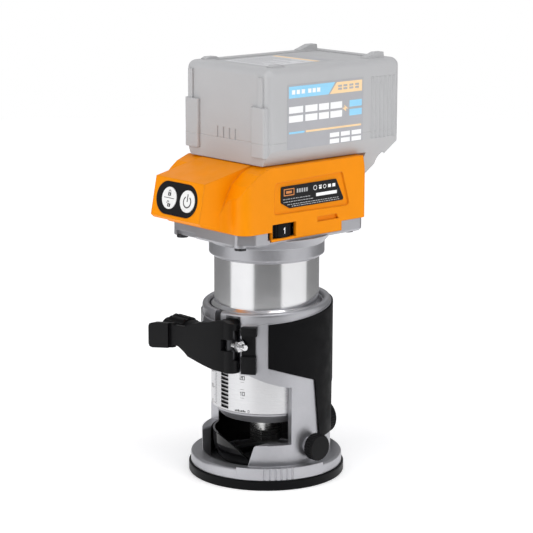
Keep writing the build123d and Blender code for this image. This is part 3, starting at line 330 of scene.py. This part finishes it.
MATERIAL_OF = {
    "base_casting": base_paint_and_bore_shade, "head_casting": paint, "end_bracket": paint,
    "motor_barrel": barrel_metal_and_gap_shade,
    "sub_base": sole_plastic, "sub_base_screws": dark_steel,
    "right_grip": rubber, "left_grip": rubber, "chip_deflector": gloss_black,
    "side_knob": black_plastic, "rear_knob": black_plastic, "depth_knob": black_plastic,
    "clamp_bolt": bolt_steel, "clamp_nut": bolt_steel, "nut_washer": bolt_steel, "pivot_pin": dark_steel,
    "cam_guide": black_plastic, "clamp_lever": lever_plastic,
    "pinion": steel, "lower_bearing": steel, "upper_bearing": steel,
    "stator_core": laminate, "stator_coils": copper, "rotor_magnets": magnet, "cooling_fan": black_plastic,
    "spindle": steel, "collet": steel, "collet_nut": steel,
    "head_screws": dark_steel, "head_housing": orange,
    "control_panel": panel_film, "rating_plate": panel_film,
    "lock_button": white_film, "power_button": white_film,
    "switch_board": board_green, "tact_switches": black_plastic, "speed_dial": black_plastic,
    "speed_potentiometer": black_plastic, "controller_board": board_green,
    "board_components": black_plastic, "heat_sink": steel,
    "terminal_block": black_plastic, "terminal_blades": copper,
    "lower_case": pack_plastic, "upper_case": pack_plastic, "latch_button": pack_plastic,
    "case_screws": dark_steel, "cells": cell_wrap, "cell_holder": black_plastic,
    "protection_board": board_green, "pack_contacts": copper, "latch_spring": steel,
}
for node_name, node_material in MATERIAL_OF.items():
    node_mesh = NODES[node_name].data
    node_mesh.materials.clear()
    node_mesh.materials.append(node_material)

# ---------------------------------------------------------------- piece helpers


def place_at(origin, across, up):
    """Matrix from a drawing plane in millimetres to the row frame in metres."""
    across = Vector(across).normalized()
    up = Vector(up).normalized()
    out = across.cross(up)
    matrix = Matrix((across, up, out)).transposed().to_4x4()
    return Matrix.Translation(Vector(origin) * MM) @ matrix @ Matrix.Scale(MM, 4)


def finish_piece(name, mesh, body, material, smooth=False):
    """Links a mesh as a piece that rides on a body."""
    piece = bpy.data.objects.new(name, mesh)
    SCENE.collection.objects.link(piece)
    mesh.materials.append(material)
    for face in mesh.polygons:
        face.use_smooth = smooth
    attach(piece, body)
    return piece


def solid_mesh(name, outlines, thick, warp, bevel=0.0, step=None):
    """Closed mesh of flat outlines given in millimetres, raised by thick, then bent by warp.

    step cuts the outlines into strips along their first axis, so that they can follow a curved wall."""
    made = bmesh.new()
    for outline in outlines:
        points = [made.verts.new((u, v, 0.0)) for u, v in outline]
        face = made.faces.new(points)
        if face.normal.z < 0:
            face.normal_flip()
    made.normal_update()
    for face in made.faces:
        if face.normal.z < 0:
            face.normal_flip()
    if step:
        low = min(v.co.x for v in made.verts)
        high = max(v.co.x for v in made.verts)
        cut = math.floor(low / step) * step + step
        while cut < high:
            everything = made.verts[:] + made.edges[:] + made.faces[:]
            bmesh.ops.bisect_plane(made, geom=everything, plane_co=(cut, 0, 0), plane_no=(1, 0, 0))
            cut += step
    lower = made.faces[:]
    grown = bmesh.ops.extrude_face_region(made, geom=lower)
    top = [g for g in grown["geom"] if isinstance(g, bmesh.types.BMVert)]
    for vertex in top:
        vertex.co.z += thick
    for face in lower:
        if face.is_valid:
            face.normal_flip()
    if bevel:
        rim = [e for e in made.edges if e.calc_face_angle(0.0) > 0.8
               and all(v.co.z > thick * 0.9 for v in e.verts)]
        bmesh.ops.bevel(made, geom=rim, offset=bevel, segments=2, affect="EDGES", profile=0.6)
    for vertex in made.verts:
        vertex.co = warp(vertex.co)
    bmesh.ops.recalc_face_normals(made, faces=made.faces[:])
    mesh = bpy.data.meshes.new(name)
    made.to_mesh(mesh)
    made.free()
    return mesh


def raised(name, outlines, thick, matrix, body, material, bevel=0.0):
    """Thin raised shapes on a flat face."""
    mesh = solid_mesh(name, outlines, thick, lambda co: matrix @ co, bevel)
    return finish_piece(name, mesh, body, material)


def wrapped(name, outlines, thick, radius, body, material, step=0.8):
    """Thin raised shapes on an upright cylinder; the first axis is the arc length from angle 0."""

    def warp(co):
        turn = co.x / radius
        reach = (radius + co.z) * MM
        return Vector((reach * math.cos(turn), reach * math.sin(turn), co.y * MM))

    mesh = solid_mesh(name, outlines, thick, warp, step=step)
    return finish_piece(name, mesh, body, material)


def bar(u0, u1, v0, v1):
    """Rectangle outline between limits."""
    return [(u0, v0), (u1, v0), (u1, v1), (u0, v1)]


def round_outline(u, v, radius, count=28, start=0.0, end=360.0):
    """Closed outline of a disc, or an open arc's points."""
    full = abs(end - start) >= 360
    steps = count if full else count - 1
    return [(u + radius * math.cos(math.radians(start + (end - start) * k / steps)),
             v + radius * math.sin(math.radians(start + (end - start) * k / steps))) for k in range(count)]


def band(path, width):
    """Outline of a line of the given width along an open path."""
    left, right = [], []
    for k, point in enumerate(path):
        before = Vector(path[max(k - 1, 0)])
        after = Vector(path[min(k + 1, len(path) - 1)])
        along = (after - before).normalized()
        side = Vector((-along.y, along.x)) * width / 2
        left.append(tuple(Vector(point) + side))
        right.append(tuple(Vector(point) - side))
    return left + right[::-1]


def hoop(u, v, outer, width, count=28):
    """A ring as two half bands."""
    middle = outer - width / 2
    return [band(round_outline(u, v, middle, count, 0, 180), width),
            band(round_outline(u, v, middle, count, 180, 360), width)]


def glyph_outlines(text, size, u, v, turn=0.0):
    """Outlines of generic digits drawn as strokes, centred at u, v."""
    strokes = {
        "0": [[(0, 0), (0.55, 0), (0.55, 1), (0, 1), (0, 0)]],
        "1": [[(0.12, 0.78), (0.32, 1), (0.32, 0)]],
        "2": [[(0, 1), (0.55, 1), (0.55, 0.5), (0, 0.5), (0, 0), (0.55, 0)]],
        "3": [[(0, 1), (0.55, 1), (0.55, 0), (0, 0)], [(0.1, 0.5), (0.55, 0.5)]],
        "4": [[(0, 1), (0, 0.45), (0.55, 0.45)], [(0.45, 1), (0.45, 0)]],
        "5": [[(0.55, 1), (0, 1), (0, 0.52), (0.55, 0.52), (0.55, 0), (0, 0)]],
    }
    width = 0.8
    made = []
    start = -(len(text) * width - (width - 0.55)) / 2
    for k, letter in enumerate(text):
        for path in strokes[letter]:
            for first, second in zip(path, path[1:]):
                ends = []
                for px, py in (first, second):
                    a, b = (start + k * width + px) * size, (py - 0.5) * size
                    c, s = math.cos(turn), math.sin(turn)
                    ends.append((u + a * c - b * s, v + a * s + b * c))
                made.append(ends)
    thick = size * 0.17
    outlines = []
    for first, second in made:
        along = (Vector(second) - Vector(first)).normalized() * thick / 2
        outlines.append(band([tuple(Vector(first) - along), tuple(Vector(second) + along)], thick))
    return outlines


# ---------------------------------------------------------------- barrel scale
BARREL_R = 34.5
SCALE_LIFT = 0.03


def arc_at(angle):
    """Arc length on the barrel at an angle in degrees."""
    return math.radians(angle) * BARREL_R


SCALE_FOOT = 46.0       # height of the scale's zero
scale_left = arc_at(-104.0)
ticks = []
for k in range(48):
    height = SCALE_FOOT + k
    length = 4.6 if k % 10 == 0 else (3.4 if k % 5 == 0 else 2.2)
    ticks.append(bar(scale_left - length, scale_left, height - 0.11, height + 0.11))
wrapped("scale_ticks", ticks, SCALE_LIFT, BARREL_R, "motor_unit", dark_print)
numbers = []
for k, text in enumerate(("0", "10", "20", "30", "40")):
    numbers += glyph_outlines(text, 2.1, scale_left - 7.6, SCALE_FOOT + 10 * k)
wrapped("scale_numbers", numbers, SCALE_LIFT, BARREL_R, "motor_unit", dark_print)
centre = arc_at(-67.0)
right_marks = glyph_outlines("10", 2.2, centre, 56.5) + glyph_outlines("20", 2.2, centre, 66.5)
for k in range(7):
    right_marks.append(bar(centre - 5.2 + k * 1.1, centre - 4.4 + k * 1.1, 44.9, 45.8 + 0.25 * (k % 3)))
right_marks += glyph_outlines("0", 1.5, centre + 4.2, 45.6)
for height in (53.8, 59.2, 63.8):
    right_marks.append(bar(centre - 1.2, centre + 1.2, height - 0.08, height + 0.08))
wrapped("scale_right_marks", right_marks, SCALE_LIFT, BARREL_R, "motor_unit", dark_print)

# ---------------------------------------------------------------- push buttons
FACE_UP = (0.0, 4.6, 23.0)
BUTTON_FACE = 0.65
face_out = Vector((1, 0, 0)).cross(Vector(FACE_UP)).normalized()


def middle_of(node):
    """Middle of a node's box in millimetres."""
    low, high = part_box(node)
    return (Vector(low) + Vector(high)) / 2 / MM


LOCK_X = middle_of("lock_button").x
POWER_X = middle_of("power_button").x
FACE_MIDDLE = Vector((0.0, *middle_of("control_panel").yz))


def on_face(u, lift):
    """Drawing plane on the sloping control panel, with the first axis along +X."""
    origin = FACE_MIDDLE + Vector((u, 0, 0)) + face_out * lift
    return place_at(origin, (1, 0, 0), FACE_UP)


def padlock(u, v, size, open_shackle):
    """Padlock drawn as a body and a shackle."""
    body = bar(u - 0.5 * size, u + 0.5 * size, v - 0.62 * size, v + 0.12 * size)
    turn = 0.0 if not open_shackle else -0.42 * size
    arc = [(u + turn - 0.32 * size, v + 0.12 * size)]
    arc += [(u + turn + p[0], v + 0.36 * size + p[1])
            for p in round_outline(0, 0, 0.32 * size, 9, 180, 0)]
    if not open_shackle:
        arc.append((u + turn + 0.32 * size, v + 0.12 * size))
    return [body, band(arc, 0.16 * size)]


lock_marks = padlock(0, 2.9, 2.6, False) + padlock(0.5, -3.6, 2.6, True)
lock_marks.append(band([(-4.6, 0.0), (4.6, 0.0)], 0.35))
raised("lock_symbols", lock_marks, 0.05, on_face(LOCK_X, BUTTON_FACE), "lock_button", dark_print)
keyhole = [round_outline(0, 2.2, 0.42, 14), round_outline(0.5, -4.3, 0.42, 14)]
raised("lock_keyholes", keyhole, 0.08, on_face(LOCK_X, BUTTON_FACE), "lock_button", white_film)
power_marks = [band(round_outline(0, -0.3, 3.3, 33, 122, 418), 0.75), bar(-0.38, 0.38, -0.2, 4.3)]
raised("power_symbol", power_marks, 0.05, on_face(POWER_X, BUTTON_FACE), "power_button", dark_print)

# ---------------------------------------------------------------- rating plate
PLATE_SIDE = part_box("rating_plate")[1].x / MM


def on_side(y, z, lift=0.0):
    """Drawing plane on the +X side, with the first axis along +Y."""
    return place_at((PLATE_SIDE + lift, y, z), (0, 1, 0), (0, 0, 1))


plate = on_side(0.0, 0.0)
badge = [bar(-19.9, -11.4, 184.6, 185.2), bar(-19.9, -11.4, 180.9, 181.5), bar(-19.9, -19.3, 181.5, 184.6),
         bar(-12.0, -11.4, 181.5, 184.6), bar(-18.0, -13.4, 182.3, 183.8)]
raised("plate_badge", badge, 0.03, plate, "motor_unit", orange_print)
lines = [bar(-9.4 + 1.9 * k, -8.2 + 1.9 * k, 182.0, 184.4) for k in range(5)]
for row, (position, stop, height) in enumerate(((-20.4, 2.0, 178.9), (-20.0, 4.0, 177.2),
                                                (-17.0, 25.0, 175.5), (-13.4, 25.6, 174.3))):
    k = 0
    while position < stop:
        length = (1.5, 0.8, 2.2, 1.1, 1.8)[(k + row) % 5]
        lines.append(bar(position, min(position + length, stop), height - 0.22, height + 0.22))
        position += length + 0.55
        k += 1
raised("plate_lines", lines, 0.03, plate, "motor_unit", grey_print)
marks = hoop(5.6, 183.4, 1.5, 0.35, 16) + [bar(8.6, 11.0, 184.0, 184.6), bar(8.8, 10.8, 182.2, 183.6)]
marks += hoop(13.4, 183.4, 1.3, 0.35, 16)
marks += [bar(16.2, 18.6, 182.4, 184.4), bar(19.8, 22.2, 182.4, 184.4)]
marks.append(bar(6.4, 23.6, 178.0, 180.0))
raised("plate_marks", marks, 0.04, plate, "motor_unit", white_print)

# ---------------------------------------------------------------- dial number
DIAL = (27.2, -19.8)
DIAL_R = 11.0


def on_dial(co):
    """Point of a drawing bent round the speed dial's rim."""
    turn = co.x / DIAL_R
    reach = DIAL_R + co.z
    return Vector(((DIAL[0] + reach * math.cos(turn)) * MM, (DIAL[1] + reach * math.sin(turn)) * MM,
                   co.y * MM))


dial_mesh = solid_mesh("dial_number", glyph_outlines("1", 3.2, 0.0, 160.4), 0.04, on_dial, step=0.4)
finish_piece("dial_number", dial_mesh, "speed_dial", white_print)

# ---------------------------------------------------------------- battery pack
pack_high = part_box("upper_case")[1]
PACK_SIDE = pack_high.x / MM


def on_pack_side(lift=0.0):
    """Drawing plane on the pack's +X side, with the first axis along +Y."""
    return place_at((PACK_SIDE + lift, 0, 0), (0, 1, 0), (0, 0, 1))


def side_block(name, outlines, lift, thick, material, bevel=0.0):
    """Raised shapes on the pack's +X side, which carries the label."""
    return raised(name, outlines, thick, on_pack_side(lift), "battery", material, bevel)


side_block("pack_label", [bar(-18.0, 44.4, 208.6, 247.2)], -0.02, 0.07, pack_dark)
side_block("label_blue", [[(-16.8, 239.0), (15.3, 239.0), (20.7, 246.0), (-16.8, 246.0)],
                          bar(32.8, 43.2, 224.6, 228.6), bar(32.8, 43.2, 230.0, 234.0),
                          bar(-16.6, -4.1, 217.8, 219.0)],
           0.05, 0.03, blue_print)
side_block("label_peach", [[(16.2, 239.0), (43.3, 239.0), (43.3, 245.8), (22.1, 245.8)],
                           bar(-3.0, 42.8, 217.8, 219.0), [(26.8, 229.8), (30.2, 227.4), (29.8, 229.2),
                                                          (32.0, 229.0), (28.4, 231.6), (28.8, 230.0)]],
           0.05, 0.03, peach_print)
white_blocks = []
for start, end in ((-16.7, -5.4), (-3.6, 6.3), (7.5, 15.7), (16.9, 26.6)):
    white_blocks += [bar(start, end, 224.6, 228.6), bar(start, end, 230.0, 234.0)]
for start, end in ((16.6, 24.4), (25.8, 33.4), (34.8, 42.8)):
    white_blocks += [bar(start, end, 209.0, 211.7), bar(start, end, 212.8, 215.5)]
for start in (-14.4, -10.6, -6.6, -1.4, 2.2, 5.8):
    white_blocks += [bar(start, start + 2.6, 241.2, 243.8)]
side_block("label_white", white_blocks, 0.09, 0.03, white_print)
grey_blocks = []
for start in (23.2, 27.6, 32.6, 37.4):
    grey_blocks += [bar(start, start + 3.2, 241.0, 242.2), bar(start, start + 3.2, 242.8, 244.0)]
side_block("label_grey", grey_blocks, 0.09, 0.03, grey_print)

FOOT_RISE = 3.4         # rear feet above the pack's top
FIELD_DEPTH = 0.7       # label field below the pack's top
TOP_FIELD = pack_high.z / MM - FOOT_RISE - FIELD_DEPTH


def on_pack_top(lift=0.0):
    """Drawing plane on the label field, with the first axis along +X."""
    return place_at((0, 0, TOP_FIELD + lift), (1, 0, 0), (0, 1, 0))


raised("top_label", [bar(-21.0, 19.0, -16.0, 27.0)], 0.06, on_pack_top(-0.01), "battery", top_film)
top_lines = [bar(-19.0, -19.0 + length, -13.0 + 2.6 * k, -12.0 + 2.6 * k)
             for k, length in enumerate((30, 34, 22, 35, 28, 33, 18, 34, 30, 12, 26, 35, 20))]
raised("top_label_lines", top_lines, 0.03, on_pack_top(0.05), "battery", grey_print)
raised("top_label_strip", [bar(-21.0, 19.0, 22.6, 26.2)], 0.03, on_pack_top(0.05), "battery", peach_print)
raised("top_stripe", [bar(-21.0, 19.0, 31.0, 38.0)], 0.05, on_pack_top(0.0), "battery", pack_dark)

# ---------------------------------------------------------------- floor, light and camera
FLOOR_RADIUS = 1.6
FLOOR_GLOW = 0.34
WORLD_LIGHT = 0.35      # the world's strength on the object; the camera sees plain white
floor_mesh = bpy.data.meshes.new("floor")
floor_build = bmesh.new()
bmesh.ops.create_circle(floor_build, cap_ends=True, segments=96, radius=FLOOR_RADIUS)
floor_build.to_mesh(floor_mesh)
floor_build.free()
floor = bpy.data.objects.new("floor", floor_mesh)
SCENE.collection.objects.link(floor)
floor_look = Surface("floor_card")
floor_tone = floor_look.ramp(floor_look.noise(3.0, 2.0),
                             ((0.3, (0.90, 0.90, 0.90)), (0.7, (0.93, 0.93, 0.93))))
floor_look.link(floor_tone, floor_look.bsdf.inputs["Base Color"])
floor_look.values(Roughness=0.55, Specular_IOR_Level=0.25, Emission_Color=(1.0, 1.0, 1.0, 1.0),
                  Emission_Strength=FLOOR_GLOW)
floor_mesh.materials.append(floor_look.material)


def soft_box(name, azimuth, height, distance, size, power, aim=(0.0, 0.0, 0.13)):
    """Area light at an azimuth round the object, measured like the camera's, aimed at the object."""
    data = bpy.data.lights.new(name, "AREA")
    data.shape = "RECTANGLE"
    data.size, data.size_y = size
    data.energy = power
    lamp = bpy.data.objects.new(name, data)
    turn = math.radians(azimuth)
    lamp.location = (distance * math.sin(turn), -distance * math.cos(turn), height)
    toward = Vector(aim) - lamp.location
    lamp.rotation_mode = "QUATERNION"
    lamp.rotation_quaternion = toward.to_track_quat("-Z", "Y")
    lamp.visible_camera = False
    SCENE.collection.objects.link(lamp)


CAMERA_AZIMUTH = 48.3
soft_box("left_box", CAMERA_AZIMUTH - 55.0, 0.45, 1.3, (1.0, 1.5), 9.0)
soft_box("right_box", CAMERA_AZIMUTH + 60.0, 0.45, 1.3, (1.05, 1.5), 7.5)
soft_box("top_box", CAMERA_AZIMUTH + 10.0, 1.9, 0.5, (1.4, 1.4), 15.0)
soft_box("back_box", CAMERA_AZIMUTH + 180.0, 0.9, 1.9, (2.4, 1.6), 8.0)


def reflector(name, start, end, bright, radius=0.43, top=0.36):
    """Curved card that only reflections see; the angles are measured from the camera's side."""
    made = bmesh.new()
    count = max(3, int((end - start) / 6))
    rows = []
    for k in range(count + 1):
        turn = math.radians(CAMERA_AZIMUTH + start + (end - start) * k / count)
        x, y = radius * math.sin(turn), -radius * math.cos(turn)
        rows.append((made.verts.new((x, y, 0.002)), made.verts.new((x, y, top))))
    for (a, b), (c, d) in zip(rows, rows[1:]):
        made.faces.new((a, c, d, b))
    mesh = bpy.data.meshes.new(name)
    made.to_mesh(mesh)
    made.free()
    card = bpy.data.objects.new(name, mesh)
    SCENE.collection.objects.link(card)
    look = Surface(name + "_look")
    look.link(look.ramp(look.noise(4.0, 2.0), ((0.3, (0.0, 0.0, 0.0)), (0.7, (0.004, 0.004, 0.004)))),
              look.bsdf.inputs["Base Color"])
    look.link(look.ramp(look.noise(3.0, 2.0), ((0.3, (0.94, 0.94, 0.95)), (0.7, (1.0, 1.0, 1.0)))),
              look.bsdf.inputs["Emission Color"])
    look.values(Roughness=0.9, Specular_IOR_Level=0.0, Emission_Strength=bright)
    mesh.materials.append(look.material)
    for ray in ("camera", "diffuse", "shadow", "transmission"):
        setattr(card, "visible_" + ray, False)


reflector("left_card", -82.0, -27.0, 1.05)
reflector("front_card", -27.0, 31.0, 0.18)
reflector("right_card", 31.0, 94.0, 0.95)
reflector("far_card", 94.0, 278.0, 0.26)

world = bpy.data.worlds.new("studio")
SCENE.world = world
world.use_nodes = True
world_tree = world.node_tree
background = world_tree.nodes["Background"]
sky = world_tree.nodes.new("ShaderNodeBackground")
sky.inputs["Color"].default_value = (1.0, 1.0, 1.0, 1.0)
sky.inputs["Strength"].default_value = 1.0
background.inputs["Color"].default_value = (0.95, 0.96, 1.0, 1.0)
background.inputs["Strength"].default_value = WORLD_LIGHT
path = world_tree.nodes.new("ShaderNodeLightPath")
blend = world_tree.nodes.new("ShaderNodeMixShader")
world_tree.links.new(path.outputs["Is Camera Ray"], blend.inputs["Fac"])
world_tree.links.new(background.outputs["Background"], blend.inputs[1])
world_tree.links.new(sky.outputs["Background"], blend.inputs[2])
world_tree.links.new(blend.outputs["Shader"], world_tree.nodes["World Output"].inputs["Surface"])
SCENE.view_settings.view_transform = "Standard"

camera_data = bpy.data.cameras.new("camera")
camera_data.lens = 136.4
camera_data.sensor_width = 36.0
camera_data.clip_start = 0.05
camera_data.clip_end = 40.0
camera = bpy.data.objects.new("camera", camera_data)
SCENE.collection.objects.link(camera)
CAMERA_PITCH = 12.18
CAMERA_ROLL = 0.17
CAMERA_DISTANCE = 1.250
CAMERA_TARGET = Vector((-0.00007, -0.00008, 0.1295))
azimuth, pitch, roll = (math.radians(a) for a in (CAMERA_AZIMUTH, CAMERA_PITCH, CAMERA_ROLL))
forward = Vector((-math.sin(azimuth) * math.cos(pitch), math.cos(azimuth) * math.cos(pitch),
                  -math.sin(pitch)))
level = Vector((math.cos(azimuth), math.sin(azimuth), 0.0))
upright = level.cross(forward)
right = level * math.cos(roll) + upright * math.sin(roll)
up = upright * math.cos(roll) - level * math.sin(roll)
camera.matrix_world = (Matrix.Translation(CAMERA_TARGET - forward * CAMERA_DISTANCE)
                       @ Matrix((right, up, -forward)).transposed().to_4x4())
SCENE.camera = camera
